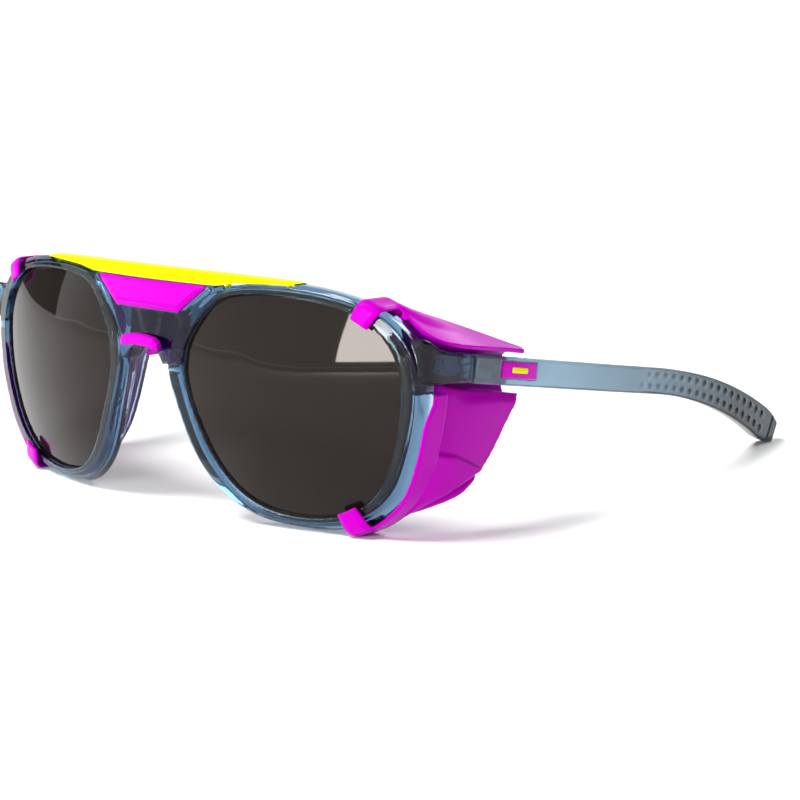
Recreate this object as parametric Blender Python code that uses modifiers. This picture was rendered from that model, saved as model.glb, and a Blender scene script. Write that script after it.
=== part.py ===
"""Glacier glasses: translucent front and temples, soft side shields, mirrored lenses.

Run with: blender --background --python part.py
Frame: +X is the wearer's left, the front faces -Y, the temples run towards +Y and the
floor that the folded-open glasses stand on is z = 0.  Driving sizes are in millimetres
and are turned into metres by the helpers.
"""
import math

import bmesh
import bpy
from mathutils import Matrix, Vector

MM = 0.001
GAP = 0.3                     # clearance between touching pieces

# Front: two rims on one gently curved surface -------------------------------------------
FRONT_Y = -79.87              # middle of the bridge, so that the whole box is centred
WRAP_RADIUS = 170.3           # curve of the front from side to side
FACE_RADIUS = 127.6           # curve of the front from top to bottom
FACE_MID_Z = 28.0
FACE_TILT = math.tan(math.radians(1.36))
# Lens opening, clockwise from the top: x, z and the width of the rim outside it
OPENING = [
    (40.0, 50.5, 2.6), (49.5, 49.3, 2.7), (56.5, 46.9, 3.2), (61.8, 42.6, 4.2),
    (64.7, 37.2, 4.8), (65.5, 31.0, 4.6), (64.9, 25.0, 4.3), (63.0, 17.8, 4.3),
    (59.3, 10.4, 4.1), (53.3, 5.6, 3.2), (46.0, 3.3, 2.4), (38.5, 2.9, 2.1),
    (31.0, 4.1, 2.6), (24.6, 7.5, 3.4), (19.3, 13.5, 4.2), (15.3, 21.0, 4.2),
    (12.7, 27.5, 4.2), (11.8, 33.0, 4.8), (12.9, 38.5, 4.4), (16.0, 43.6, 3.4),
    (20.5, 48.3, 2.8), (27.0, 50.2, 2.6), (33.0, 50.6, 2.5),
]
STEPS_PER_POINT = 2           # stations between two points of the opening
RIM_PROUD = 0.55              # front of the rim ahead of the front surface
RIM_BACK = 4.2
GROOVE_DEPTH = 1.2
GROOVE_FRONT = 0.45
GROOVE_BACK = 2.85
LENS_INSERTED = 0.9           # how far the lens runs into the groove
LENS_THICKNESS = 1.8
LENS_CROWN = 1.9              # the lens stands ahead of its edge by this at its middle
LENS_RINGS = 5

BRIDGE_ARCH_Z = 38.6
BRIDGE_ARCH_CURVE = 0.15
BRIDGE_TOP_Z = 51.3
BAR_HALF_LENGTH = 40.4
INSERT_BOTTOM_Z = 45.1
INSERT_HALF_BOTTOM = 10.2
INSERT_HALF_TOP = 17.4
INSERT_DEPTH = 1.2
# Nose edge of the rim: x, z and how far back the wall behind it reaches
NOSE_WALL = [
    (4.4, 35.6, 7.0), (6.1, 33.4, 7.8), (7.7, 30.5, 8.2), (9.4, 26.0, 8.2),
    (10.9, 21.5, 7.6), (12.7, 16.5, 6.4), (14.8, 12.4, 4.6),
]
# Pad beside each nose wall, from the top down: x beside the wall, outer x, z, where it
# starts and where it ends behind the front surface
NOSE_PAD = [
    (8.2, 9.6, 35.3, 6.9, 8.9), (9.75, 11.1, 33.2, 4.7, 7.6), (11.25, 12.7, 30.5, 5.0, 8.0),
    (12.6, 14.0, 27.0, 7.0, 8.0), (13.95, 15.4, 23.0, 6.6, 7.6),
    (15.35, 16.8, 19.0, 5.6, 6.8), (16.6, 18.2, 15.8, 4.7, 6.0),
    (17.4, 19.0, 14.2, 4.7, 5.3),
]
PAD_LINK = (3.4, 9.4, 34.4, 35.6)   # x and z of the bar from the web to the pad
LIP_HALF = 6.2                # soft lip ahead of the bridge
LIP_LOW_Z = 37.1
LIP_HIGH_Z = 39.8
BACKING_HALF = 9.0            # soft plate behind the bridge, above the web
BACKING_LOW_Z = 36.2
BACKING_HIGH_Z = 45.0

# Temples --------------------------------------------------------------------------------
HINGE_X = 66.0
HINGE_Y = 29.0
HINGE_Z = 36.0
TEMPLE_OUT_X = 71.0
TEMPLE_SLOPE = 0.166          # fall of the temple per millimetre of length
TEMPLE_BEND_Y = 95.0          # the ear bend starts here
TEMPLE_BEND = 0.0027
TEMPLE_CURVE_Y = 60.0         # the temple curves inwards from here
TEMPLE_CURVE = 0.00122
TEMPLE_START_Y = 29.35
TEMPLE_END_Y = 162.6
TEMPLE_HEIGHT = 6.25
TIP_HEIGHT = 8.1

# Shields --------------------------------------------------------------------------------
FLEX_X = 62.0                 # the shield folds behind the rim, on a mitre to the hinge
FLEX_Y = 25.0
SHIELD_THICKNESS = 1.0

PART = bpy.data.collections.new("glacier_glasses")
CUTTERS = bpy.data.collections.new("cutters")


# ---------------------------------------------------------------------------- helpers --
def clear_scene():
    for item in list(bpy.data.objects):
        bpy.data.objects.remove(item, do_unlink=True)
    for collection in (PART, CUTTERS):
        bpy.context.scene.collection.children.link(collection)


def material(name, colour, roughness, metallic=0.0, transmission=0.0):
    result = bpy.data.materials.new(name)
    result.use_nodes = True
    shader = result.node_tree.nodes["Principled BSDF"]
    shader.inputs["Base Color"].default_value = (*colour, 1.0)
    shader.inputs["Roughness"].default_value = roughness
    shader.inputs["Metallic"].default_value = metallic
    shader.inputs["Transmission Weight"].default_value = transmission
    return result


def metres(x, y, z, side=1):
    """A point given in millimetres from the bridge, for the left (1) or right (-1) side."""
    return Vector((side * x * MM, (y + FRONT_Y) * MM, z * MM))


def as_object(name, bm, look, smooth=35.0):
    """Closed bmesh to object; pieces without a look are tools for the Booleans."""
    bmesh.ops.recalc_face_normals(bm, faces=bm.faces)
    mesh = bpy.data.meshes.new(name)
    bm.to_mesh(mesh)
    bm.free()
    item = bpy.data.objects.new(name, mesh)
    if look is None:
        item.hide_render = True
        item.display_type = "WIRE"
        CUTTERS.objects.link(item)
    else:
        mesh.materials.append(look)
        mesh.shade_smooth()
        mesh.set_sharp_from_angle(angle=math.radians(smooth))
        PART.objects.link(item)
    return item


def loft(name, rings, look, ring_closed=True):
    """Skin equal rings of points in order; an open row of rings gets two caps."""
    bm = bmesh.new()
    rows = [[bm.verts.new(point) for point in ring] for ring in rings]
    pairs = list(zip(rows, rows[1:]))
    if not ring_closed:
        bm.faces.new(rows[0])
        bm.faces.new(rows[-1])
    else:
        pairs.append((rows[-1], rows[0]))
    for row, following in pairs:
        for i in range(len(row)):
            j = (i + 1) % len(row)
            bm.faces.new((row[i], row[j], following[j], following[i]))
    return as_object(name, bm, look)


def box(name, low, high, look, side=1, slope=0.0):
    """Box between two corners in millimetres, tilted about X through its own middle."""
    middle = [(a + b) / 2 for a, b in zip(low, high)]
    bm = bmesh.new()
    bmesh.ops.create_cube(bm, size=1.0)
    bmesh.ops.scale(bm, vec=[(b - a) * MM for a, b in zip(low, high)], verts=bm.verts)
    item = as_object(name, bm, look)
    item.location = metres(*middle, side)
    item.rotation_euler.x = -math.atan(slope)
    return item


def cylinder(name, x, y, low_z, high_z, radius, look, side=1, segments=20):
    bm = bmesh.new()
    bmesh.ops.create_cone(bm, cap_ends=True, segments=segments, radius1=radius * MM,
                          radius2=radius * MM, depth=(high_z - low_z) * MM)
    item = as_object(name, bm, look)
    item.location = metres(x, y, (low_z + high_z) / 2, side)
    return item


def boolean(target, tool, operation):
    modifier = target.modifiers.new(tool.name, "BOOLEAN")
    modifier.operation = operation
    modifier.solver = "EXACT"
    modifier.object = tool


def cut(target, *tools):
    for tool in tools:
        boolean(target, tool, "DIFFERENCE")


def join(target, *tools):
    for tool in tools:
        boolean(target, tool, "UNION")


def catmull(points, closed, steps):
    """Smooth run through the points, each a tuple of numbers, with steps per span."""
    count = len(points)
    spans = count if closed else count - 1
    result = []
    for span in range(spans):
        if closed:
            around = [points[(span + k) % count] for k in (-1, 0, 1, 2)]
        else:
            around = [points[min(max(span + k, 0), count - 1)] for k in (-1, 0, 1, 2)]
        for step in range(steps):
            t = step / steps
            weights = (
                -0.5 * t + t * t - 0.5 * t ** 3,
                1.0 - 2.5 * t * t + 1.5 * t ** 3,
                0.5 * t + 2.0 * t * t - 1.5 * t ** 3,
                -0.5 * t * t + 0.5 * t ** 3,
            )
            result.append(tuple(
                sum(w * p[axis] for w, p in zip(weights, around))
                for axis in range(len(points[0]))))
    if not closed:
        result.append(tuple(points[-1]))
    return result


def between(table, x):
    """Straight-line value at x in rows of (x, value), the same on both sides of x = 0."""
    x = abs(x)
    for (x0, v0), (x1, v1) in zip(table, table[1:]):
        if x <= x1:
            return v0 + (v1 - v0) * (x - x0) / (x1 - x0)
    return table[-1][1]


def spread(half, count):
    return [half * (2 * i / (count - 1) - 1) for i in range(count)]


# ------------------------------------------------------------------------- the front --
def face_y(x, z):
    """The curved surface that the front is built on."""
    rise = z - FACE_MID_Z
    return x * x / (2 * WRAP_RADIUS) + rise * rise / (2 * FACE_RADIUS) - rise * FACE_TILT


def rim_stations(steps=STEPS_PER_POINT):
    """Opening point, outward direction and rim width, evenly round the lens."""
    outline = catmull(OPENING, True, steps)
    result = []
    for i, (x, z, width) in enumerate(outline):
        before, after = outline[i - 1], outline[(i + 1) % len(outline)]
        along = Vector((after[0] - before[0], after[1] - before[1])).normalized()
        result.append((Vector((x, z)), Vector((-along.y, along.x)), width))
    return result


def rim_point(station, out, back, side):
    """Point of a rim section: out from the opening, back from the front surface."""
    edge, outward, _ = station
    flat = edge + outward * out
    z = max(flat.y, 0.0)
    return metres(flat.x, face_y(flat.x, flat.y) + back, z, side)


def rim_heel(station):
    """Outer edge at the back of the rim: it drops to the floor under the lens."""
    _, outward, width = station
    return width + 1.35 * max(0.0, -outward.y) ** 3 - 0.6 * abs(outward.x)


def rim(name, side, look):
    rings = []
    for station in rim_stations():
        width, heel = station[2], rim_heel(station)
        rings.append([rim_point(station, out, back, side) for out, back in (
            (0.0, -RIM_PROUD), (width - 0.9, -RIM_PROUD), (width, 0.35), (heel, 3.5),
            (heel - 0.4, RIM_BACK), (0.35, RIM_BACK), (0.0, RIM_BACK - 0.35),
            (0.0, GROOVE_BACK), (GROOVE_DEPTH, GROOVE_BACK),
            (GROOVE_DEPTH, GROOVE_FRONT), (0.0, GROOVE_FRONT))])
    return loft(name, rings, look)


def lens(name, side, look):
    """Domed lens whose edge follows the groove of the rim."""
    front_edge = GROOVE_FRONT + GAP
    stations = rim_stations()
    middle = sum((s[0] for s in stations), Vector((0.0, 0.0))) / len(stations)
    bm = bmesh.new()
    skins = []
    for back in (front_edge, front_edge + LENS_THICKNESS):
        rings = []
        for ring in range(LENS_RINGS):
            share = 1.0 - ring / LENS_RINGS
            row = []
            for edge, outward, _ in stations:
                flat = middle + (edge + outward * LENS_INSERTED - middle) * share
                y = face_y(flat.x, flat.y) + back - LENS_CROWN * (1.0 - share * share)
                row.append(bm.verts.new(metres(flat.x, y, flat.y, side)))
            rings.append(row)
        y = face_y(middle.x, middle.y) + back - LENS_CROWN
        pole = bm.verts.new(metres(middle.x, y, middle.y, side))
        for row, inner in zip(rings, rings[1:]):
            for i in range(len(row)):
                j = (i + 1) % len(row)
                bm.faces.new((row[i], row[j], inner[j], inner[i]))
        for i in range(len(rings[-1])):
            bm.faces.new((rings[-1][i], rings[-1][(i + 1) % len(rings[-1])], pole))
        skins.append(rings[0])
    for i in range(len(skins[0])):
        j = (i + 1) % len(skins[0])
        bm.faces.new((skins[0][i], skins[0][j], skins[1][j], skins[1][i]))
    return as_object(name, bm, look)


def band(name, xs, low_z, high_z, front, back, look):
    """Strip across the front: its low and high edges are functions of x."""
    rings = []
    for x in xs:
        low, high = low_z(x), high_z(x)
        rings.append([metres(x, face_y(x, z) + depth, z) for z, depth in (
            (low, front), (high, front), (high, back), (low, back))])
    return loft(name, rings, look, ring_closed=False)


def arch_z(x):
    return BRIDGE_ARCH_Z - BRIDGE_ARCH_CURVE * x * x


def bridge_low_z(x):
    """Underside of the bridge: an arch, then inside the rims, clear of the lenses."""
    inside_rims = [(6.0, arch_z(6.0)), (8.0, 34.0), (10.0, 35.8), (12.0, 40.0),
                   (14.0, 43.4), (16.0, 46.0), (18.0, 48.6), (19.0, 49.9)]
    return arch_z(x) if abs(x) <= 6.0 else between(inside_rims, x)


def insert_low_z(x):
    return between([(0.0, INSERT_BOTTOM_Z), (INSERT_HALF_BOTTOM, INSERT_BOTTOM_Z),
                    (INSERT_HALF_TOP, BRIDGE_TOP_Z - 0.5)], x)


def bar_low_z(x):
    return between([(0.0, 51.6), (17.4, 51.6), (20.0, 51.6), (26.0, 52.45),
                    (33.0, 52.75), (41.0, 52.95)], x)


def bar_high_z(x):
    return between([(0.0, 54.35), (10.0, 54.3), (25.0, 54.1), (33.0, 53.85),
                    (41.0, 53.55)], x)


BAR_PEGS = [(22.1, 50.9), (37.7, 52.0)]     # x and lowest z of each peg
PEG_BACK = 1.8
PEG_RADIUS = 0.6


def peg_tools(prefix, radius, extra):
    tools = []
    for x, low in BAR_PEGS:
        for side in (1, -1):
            y = face_y(x, low) + PEG_BACK
            tools.append(cylinder(f"{prefix}_{len(tools)}", x, y, low - extra,
                                  bar_low_z(x) + 0.6, radius, None, side, 12))
    return tools


def nose_wall(name, side):
    rings = []
    for x, z, back in NOSE_WALL:
        y = face_y(x, z)
        rings.append([metres(x + dx, y + dy, z, side) for dx, dy in (
            (0.25, 1.0), (2.4, 1.0), (3.2, back), (1.1, back))])
    return loft(name, rings, None, ring_closed=False)


def end_piece(name, side):
    """Block from the corner of the rim back to the hinge: y, inner x, outer x, low, high."""
    stations = [(13.7, 67.1, 70.2, 35.4, 43.9), (15.4, 67.0, 71.0, 34.4, 43.3),
                (17.2, 66.8, 71.2, 34.1, 42.0), (18.4, 64.6, 71.2, 33.9, 41.3),
                (22.0, 64.2, 71.1, 33.7, 40.3), (28.7, 64.2, 71.0, 33.0, 39.0)]
    corner = 0.5
    rings = []
    for y, inner, outer, low, high in stations:
        rings.append([metres(x, y, z, side) for x, z in (
            (inner, low), (outer - corner, low), (outer, low + corner),
            (outer, high - corner), (outer - corner, high), (inner, high))])
    return loft(name, rings, None, ring_closed=False)


def hinge_slot(name, start_y, end_y, side):
    """Room for one hinge leaf: a slot for the plate, open at the hinge end."""
    z = HINGE_Z - TEMPLE_SLOPE * ((start_y + end_y) / 2 - HINGE_Y)
    return box(name, (HINGE_X - 5.0, start_y, z - 2.6), (HINGE_X + 0.75, end_y, z + 2.6),
               None, side, TEMPLE_SLOPE)


def knuckle_room(name, side):
    return cylinder(name, HINGE_X, HINGE_Y, 30.0, 42.0, 1.7, None, side)


def front_frame(look):
    frame = rim("front_frame", 1, look)
    join(frame, rim("rim_right", -1, None))
    join(frame, band("bridge_plate", spread(19.0, 39), bridge_low_z,
                     lambda x: BRIDGE_TOP_Z, -0.45, 4.0, None))
    for side, hand in ((1, "left"), (-1, "right")):
        join(frame, nose_wall(f"nose_wall_{hand}", side),
             end_piece(f"end_piece_{hand}", side))
    cut(frame, band("bar_seat", spread(BAR_HALF_LENGTH + 0.4, 35),
                    lambda x: bar_low_z(x) - GAP, lambda x: 60.0, -3.0, 8.0, None))
    cut(frame, band("insert_pocket", spread(INSERT_HALF_TOP + GAP, 29),
                    lambda x: insert_low_z(x) - GAP, lambda x: 56.0,
                    -3.0, INSERT_DEPTH + GAP, None))
    cut(frame, *peg_tools("peg_hole", PEG_RADIUS + GAP, 0.25))
    for side, hand in ((1, "left"), (-1, "right")):
        cut(frame, hinge_slot(f"front_slot_{hand}", 20.0, 30.5, side),
            knuckle_room(f"front_room_{hand}", side))
    return frame


def brow_bar(look):
    bar = band("brow_bar", spread(BAR_HALF_LENGTH, 35), bar_low_z, bar_high_z,
               -0.35, 3.4, look)
    join(bar, *peg_tools("peg", PEG_RADIUS, 0.0))
    return bar


def bridge_insert(look):
    return band("bridge_insert", spread(INSERT_HALF_TOP, 29), insert_low_z,
                lambda x: BRIDGE_TOP_Z, -0.85, INSERT_DEPTH, look)


def nose_pad(name, side):
    """Soft pad on the lens side of the nose wall."""
    rings = []
    for beside, outer, z, start, end in NOSE_PAD:
        y = face_y(beside, z)
        rings.append([metres(x, y + dy, z, side) for x, dy in (
            (beside, start), (outer, start), (outer, end), (beside, end))])
    return loft(name, rings, None, ring_closed=False)


def pad_link(name, side):
    """Bar behind the top of the nose wall, from the web under the bridge to the pad."""
    near_x, far_x, low, high = PAD_LINK
    y = face_y(6.0, 35.0)
    return box(name, (near_x, y + 7.85, low), (far_x, y + 8.9, high), None, side)


def nose_saddle(look):
    """Web under the arch with the lip ahead of it, the backing plate and the two pads."""
    rings = []
    for x in spread(5.2, 27):
        web_top = arch_z(x) - GAP
        y = face_y(x, 38.0)
        front = y + between([(0.0, -1.6), (1.3, -1.6), (2.0, 4.6), (5.2, 4.6)], x)
        rings.append([metres(x, point_y, z) for point_y, z in (
            (front, web_top - 1.0), (front, web_top), (y + 9.6, web_top),
            (y + 9.6, web_top - 1.0))])
    saddle = loft("nose_saddle", rings, look, ring_closed=False)
    lip = band("lip", spread(LIP_HALF, 9), lambda x: LIP_LOW_Z - 0.02 * x * x,
               lambda x: LIP_HIGH_Z - 0.025 * x * x, -2.8, -0.85, None)
    backing = band("backing", spread(BACKING_HALF, 9), lambda x: BACKING_LOW_Z,
                   lambda x: BACKING_HIGH_Z, 4.55, 5.9, None)
    join(saddle, lip, backing)
    for side, hand in ((1, "left"), (-1, "right")):
        join(saddle, nose_pad(f"pad_{hand}", side), pad_link(f"pad_link_{hand}", side))
    return saddle


# ------------------------------------------------------------------------ the hinges --
def hinge_leaf(name, look, side, plate_y, knuckles):
    """Metal leaf: a plate in the plastic with knuckles round the screw."""
    near_y, far_y = plate_y
    z = HINGE_Z - TEMPLE_SLOPE * ((near_y + far_y) / 2 - HINGE_Y)
    leaf = box(name, (HINGE_X - 0.45, near_y, z - 2.0), (HINGE_X + 0.45, far_y, z + 2.0),
               look, side, TEMPLE_SLOPE)
    inner_y = near_y + 0.6 if near_y > HINGE_Y else far_y - 0.6
    for number, (low, high) in enumerate(knuckles):
        neck_low = (HINGE_X - 0.44, min(inner_y, HINGE_Y), low)
        neck_high = (HINGE_X + 0.44, max(inner_y, HINGE_Y), high)
        join(leaf, box(f"{name}_neck_{number}", neck_low, neck_high, None, side),
             cylinder(f"{name}_knuckle_{number}", HINGE_X, HINGE_Y, low, high, 1.3,
                      None, side))
    cut(leaf, cylinder(f"{name}_bore", HINGE_X, HINGE_Y, 30.0, 42.0, 0.85, None, side, 16))
    return leaf


def hinge_screw(name, look, side):
    screw = cylinder(name, HINGE_X, HINGE_Y, 33.5, 38.3, 0.55, look, side, 16)
    join(screw, cylinder(f"{name}_head", HINGE_X, HINGE_Y, 38.25, 38.8, 1.15, None, side))
    cut(screw, box(f"{name}_drive", (HINGE_X - 0.2, HINGE_Y - 2.0, 38.55),
                   (HINGE_X + 0.2, HINGE_Y + 2.0, 40.0), None, side))
    return screw


# ----------------------------------------------------------------------- the temples --
def temple_mid_z(y):
    bend = max(0.0, y - TEMPLE_BEND_Y)
    return 35.9 - TEMPLE_SLOPE * (y - TEMPLE_START_Y) - TEMPLE_BEND * bend * bend


def temple_out_x(y):
    curve = max(0.0, y - TEMPLE_CURVE_Y)
    return TEMPLE_OUT_X - TEMPLE_CURVE * curve * curve


def temple_thickness(y):
    return between([(0.0, 5.2), (40.0, 5.2), (62.0, 3.5), (110.0, 3.3), (150.0, 3.9),
                    (170.0, 3.9)], y)


def temple_height(y):
    swell = min(1.0, max(0.0, (y - 105.0) / 50.0))
    return TEMPLE_HEIGHT + (TIP_HEIGHT - TEMPLE_HEIGHT) * swell


def temple(name, look, side):
    stops = [TEMPLE_START_Y, 36.0, 44.0, 52.0] + [60.0 + 5.4 * i for i in range(18)]
    stops += [155.0, 157.5, 159.2, 160.4]
    corner = 0.7
    rings = []
    for y in stops:
        slope = TEMPLE_SLOPE + 2 * TEMPLE_BEND * max(0.0, y - TEMPLE_BEND_Y)
        across = Vector((0.0, slope, 1.0)).normalized()
        ahead = Vector((0.0, 1.0, -slope)).normalized()
        end = max(0.0, y - 153.0) / 7.4
        half = temple_height(y) / 2 * math.sqrt(max(0.0, 1.0 - 0.45 * end * end))
        out = temple_out_x(y)
        inner = out - temple_thickness(y)
        middle = Vector((0.0, y, temple_mid_z(y))) + ahead * (0.8 * end * end)
        ring = []
        for x, u in ((inner, -half + 0.3), (out - corner, -half), (out, -half + corner),
                     (out, half - corner), (out - corner, half), (inner, half - 0.3)):
            point = middle + across * u
            ring.append(metres(x, point.y, max(point.z, 0.0), side))
        rings.append(ring)
    result = loft(name, rings, look, ring_closed=False)
    slot = hinge_slot(f"{name}_slot", 27.5, 39.3, side)
    cut(result, slot, knuckle_room(f"{name}_room", side))
    badge_seat = temple_box(f"{name}_badge_seat", 43.7, 12.4, 3.9, 70.1, 73.0, None, side)
    cut(result, badge_seat)
    return result


def temple_box(name, y, length, height, low_x, high_x, look, side):
    """Box on the outer face of the temple, square to its slope."""
    z = temple_mid_z(y)
    return box(name, (low_x, y - length / 2, z - height / 2),
               (high_x, y + length / 2, z + height / 2), look, side, TEMPLE_SLOPE)


def badge(hand, side, plate_look, inlay_look):
    """Plain badge: a small plate with a plain bar let into it."""
    plate = temple_box(f"badge_plate_{hand}", 43.7, 11.7, 3.2, 70.4, 71.1, plate_look, side)
    seat = temple_box(f"badge_inlay_seat_{hand}", 43.7, 5.6, 1.8, 70.75, 72.0, None, side)
    cut(plate, seat)
    inlay = temple_box(f"badge_inlay_{hand}", 43.7, 5.0, 1.2, 71.05, 71.4, inlay_look, side)
    return plate, inlay


# ----------------------------------------------------------------------- the shields --
# Outline of the shield as seen from the front, from its lower edge up the outside, in
# under the temple, up behind it, over the top and down to the edge above the temple:
# x, y and z.  At the rim y counts from the back of the front surface.
SHIELD_AT_RIM = [(52.0, 1.3), (60.4, 5.0), (67.2, 16.2), (68.2, 31.4), (63.3, 32.4),
                 (62.9, 41.0), (60.1, 49.0), (61.2, 48.1), (62.2, 47.2)]
SHIELD_BEFORE_FOLD = [(57.6, 20.3, 3.6), (64.2, 20.4, 8.4), (67.8, 20.6, 17.8),
                      (68.5, 20.7, 32.6), (63.3, 20.2, 32.8), (63.1, 20.4, 40.4),
                      (62.2, 20.0, 47.3), (65.0, 18.9, 44.9), (67.6, 18.0, 42.6)]
SHIELD_AT_FOLD = [(63.2, 6.0), (66.6, 11.0), (68.6, 20.0), (68.6, 31.7), (63.3, 31.6),
                  (63.3, 39.5), (64.4, 45.4), (67.8, 43.0), (71.2, 40.6)]
SHIELD_MIDDLE = [(65.8, 29.9, 7.9), (67.7, 31.0, 13.8), (68.8, 33.0, 21.4),
                 (68.6, 35.5, 30.3), (63.3, 35.8, 30.1), (63.3, 36.0, 37.0),
                 (66.0, 36.0, 41.4), (68.6, 35.6, 40.2), (71.2, 35.2, 39.1)]
SHIELD_REAR = [(66.3, 33.4, 9.9), (67.8, 37.4, 15.2), (68.4, 42.0, 21.8),
               (68.3, 46.8, 28.3), (63.5, 47.0, 28.1), (63.5, 46.9, 35.9),
               (68.4, 46.4, 37.4), (69.8, 45.6, 37.4), (71.2, 44.8, 37.4)]
HOOK_STEPS = 8                # stations between two points of the opening for the hooks
FOLD_GAP = 0.2
FOLD_STRAIGHT = 1.4           # the sheet runs straight back this far beside the fold


def smooth_rows(rows):
    """Rows of points from the rim backwards, smoothed both ways."""
    along = [catmull(row, False, 2) for row in rows]
    return list(zip(*(catmull(column, False, 2) for column in zip(*along))))


def sheet(name, rows, look, side):
    """Soft sheet through rows of points, thickened away from the temple."""
    columns = list(zip(*rows))
    bm = bmesh.new()
    grid = [[bm.verts.new(metres(*point, side)) for point in column] for column in columns]
    for left, right in zip(grid, grid[1:]):
        for i in range(len(left) - 1):
            corners = (left[i], left[i + 1], right[i + 1], right[i])
            bm.faces.new(corners if side > 0 else reversed(corners))
    mesh = bpy.data.meshes.new(name)
    bm.to_mesh(mesh)
    bm.free()
    item = bpy.data.objects.new(name, mesh)
    mesh.materials.append(look)
    mesh.shade_smooth()
    PART.objects.link(item)
    solid = item.modifiers.new("thickness", "SOLIDIFY")
    solid.thickness = SHIELD_THICKNESS * MM
    solid.offset = -1.0
    solid.use_even_offset = True
    return item


def at_depth(profile, y):
    return [(x, y, z) for x, z in profile]


def fold_row(y):
    return catmull(at_depth(SHIELD_AT_FOLD, y), False, 2)


def clip_rows():
    rim_row = [(x, face_y(x, z) + RIM_BACK + 0.5, z) for x, z in SHIELD_AT_RIM]
    before = at_depth(SHIELD_AT_FOLD, FLEX_Y - FOLD_STRAIGHT)
    rows = smooth_rows([rim_row, SHIELD_BEFORE_FOLD, before])
    return rows + [fold_row(FLEX_Y - FOLD_GAP)]


def panel_rows():
    behind = at_depth(SHIELD_AT_FOLD, FLEX_Y + FOLD_STRAIGHT)
    rows = smooth_rows([behind, SHIELD_MIDDLE, SHIELD_REAR])
    return [fold_row(FLEX_Y + FOLD_GAP)] + rows


def hook(name, first, last, side):
    """Soft hook over the rim between two stations: a U round the rim's section."""
    stations = rim_stations(HOOK_STEPS)
    rings = []
    for index in range(first, last + 1):
        station = stations[index]
        width = max(station[2], rim_heel(station))
        rings.append([rim_point(station, out, back, side) for out, back in (
            (-0.6, -2.0), (width + 0.6, -2.0), (width + 1.2, -1.3), (width + 1.1, 6.2),
            (width - 2.6, 6.2), (width - 2.6, 4.55), (width + 0.35, 4.55),
            (width + 0.35, -0.9), (-0.6, -0.9))])
    return loft(name, rings, None, ring_closed=False)


def rim_flange(name, side):
    """Flange of the shield beside the rim, from under the end piece to the lower hook."""
    rings = []
    for station in rim_stations(HOOK_STEPS)[39:72]:
        width = max(station[2], rim_heel(station))
        rings.append([rim_point(station, out, back, side) for out, back in (
            (width + 0.35, -0.1), (width + 1.1, -0.1), (width + 1.1, 5.8),
            (width - 2.0, 5.8), (width - 2.0, 4.6), (width + 0.35, 4.6))])
    return loft(name, rings, None, ring_closed=False)


def shield(hand, side, look):
    clip = sheet(f"shield_clip_{hand}", clip_rows(), look, side)
    join(clip, hook(f"upper_hook_{hand}", 14, 19, side),
         hook(f"lower_hook_{hand}", 70, 75, side),
         rim_flange(f"rim_flange_{hand}", side))
    panel = sheet(f"shield_panel_{hand}", panel_rows(), look, side)
    return clip, panel


# ------------------------------------------------------------------------------ build --
def ride(pieces, name, x, y, side):
    """Parent pieces to an empty on their joint's axis without moving them."""
    axis = bpy.data.objects.new(name, None)
    axis.location = metres(x, y, HINGE_Z, side)
    PART.objects.link(axis)
    for piece in pieces:
        piece.parent = axis
        piece.matrix_parent_inverse = Matrix.Translation(-axis.location)


def build():
    clear_scene()
    clear_plastic = material("smoke_blue_plastic", (0.25, 0.36, 0.46), 0.12,
                             transmission=0.6)
    soft_pink = material("pink_soft_plastic", (0.85, 0.0, 0.75), 0.4)
    yellow = material("yellow_plastic", (0.93, 0.9, 0.0), 0.35)
    dark_lens = material("dark_lens", (0.05, 0.045, 0.04), 0.06)
    steel = material("hinge_steel", (0.5, 0.5, 0.52), 0.3, metallic=1.0)

    front_frame(clear_plastic)
    brow_bar(yellow)
    bridge_insert(soft_pink)
    nose_saddle(soft_pink)
    for side, hand in ((1, "left"), (-1, "right")):
        lens(f"lens_{hand}", side, dark_lens)
        hinge_leaf(f"hinge_leaf_front_{hand}", steel, side, (20.4, 27.2), [(35.15, 36.55)])
        moving = [
            temple(f"temple_{hand}", clear_plastic, side),
            hinge_leaf(f"hinge_leaf_temple_{hand}", steel, side, (30.9, 38.6),
                       [(33.75, 34.85), (36.85, 37.95)]),
            hinge_screw(f"hinge_screw_{hand}", steel, side),
            *badge(hand, side, soft_pink, yellow),
        ]
        ride(moving, f"hinge_axis_{hand}", HINGE_X, HINGE_Y, side)
        panel = shield(hand, side, soft_pink)[1]
        ride([panel], f"flex_axis_{hand}", FLEX_X, FLEX_Y, side)


build()
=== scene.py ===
import math

import bmesh
import bpy
import numpy as np
from mathutils import Matrix, Vector


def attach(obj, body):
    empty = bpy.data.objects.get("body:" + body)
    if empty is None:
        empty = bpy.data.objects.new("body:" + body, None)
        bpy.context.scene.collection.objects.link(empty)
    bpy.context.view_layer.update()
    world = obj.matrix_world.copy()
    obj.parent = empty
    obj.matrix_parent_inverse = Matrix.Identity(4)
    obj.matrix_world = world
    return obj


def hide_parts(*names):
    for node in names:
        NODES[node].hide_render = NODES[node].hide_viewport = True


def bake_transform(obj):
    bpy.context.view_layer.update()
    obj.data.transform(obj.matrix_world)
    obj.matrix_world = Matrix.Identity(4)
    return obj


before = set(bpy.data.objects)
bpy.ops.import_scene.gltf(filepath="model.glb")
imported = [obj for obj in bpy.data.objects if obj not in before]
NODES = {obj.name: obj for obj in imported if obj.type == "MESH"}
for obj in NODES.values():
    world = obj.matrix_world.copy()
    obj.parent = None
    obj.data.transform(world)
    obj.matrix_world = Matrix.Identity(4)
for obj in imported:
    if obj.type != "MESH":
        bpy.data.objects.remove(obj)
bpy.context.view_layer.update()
MM = 0.001
SIDES = ((1, "left"), (-1, "right"))

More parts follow.
